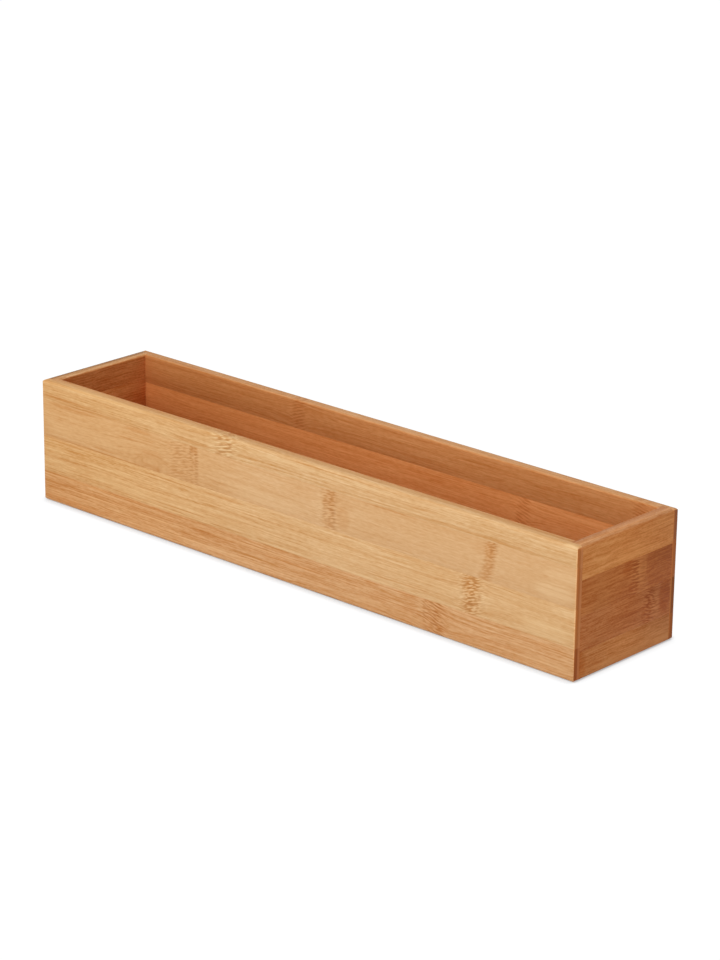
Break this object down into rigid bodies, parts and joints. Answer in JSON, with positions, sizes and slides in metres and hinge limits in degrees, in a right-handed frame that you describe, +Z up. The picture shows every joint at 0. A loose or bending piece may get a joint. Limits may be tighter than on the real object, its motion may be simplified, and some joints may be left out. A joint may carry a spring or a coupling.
{
  "type": "storage box",
  "caption": "Long, narrow organiser box with an open top: edge-glued bamboo boards, rabbeted corners, sanded edges and a base panel held in grooves.",
  "frame": {"origin": "middle of the underside, on the surface that the box stands on", "axes": "+X along the length, to the right as seen from the front; +Y from the front to the back; +Z up"},
  "size_m": [0.378, 0.079, 0.07],
  "materials": {
    "bamboo_pale": "satin clear lacquer",
    "bamboo_honey": "satin clear lacquer",
    "bamboo_amber": "satin clear lacquer",
    "bamboo_brown": "satin clear lacquer"
  },
  "bodies": {
    "root": {"front_board_bottom_strip": "bamboo_amber", "front_board_lower_strip": "bamboo_honey", "front_board_upper_strip": "bamboo_pale", "front_board_top_strip": "bamboo_honey", "back_board_bottom_strip": "bamboo_amber", "back_board_lower_strip": "bamboo_pale", "back_board_upper_strip": "bamboo_amber", "back_board_top_strip": "bamboo_honey", "left_end_board_bottom_strip": "bamboo_amber", "left_end_board_lower_strip": "bamboo_brown", "left_end_board_upper_strip": "bamboo_honey", "left_end_board_top_strip": "bamboo_amber", "right_end_board_bottom_strip": "bamboo_amber", "right_end_board_lower_strip": "bamboo_brown", "right_end_board_upper_strip": "bamboo_brown", "right_end_board_top_strip": "bamboo_amber", "base_panel_front_strip": "bamboo_honey", "base_panel_front_middle_strip": "bamboo_amber", "base_panel_back_middle_strip": "bamboo_pale", "base_panel_back_strip": "bamboo_honey"}
  },
  "joints": []
}
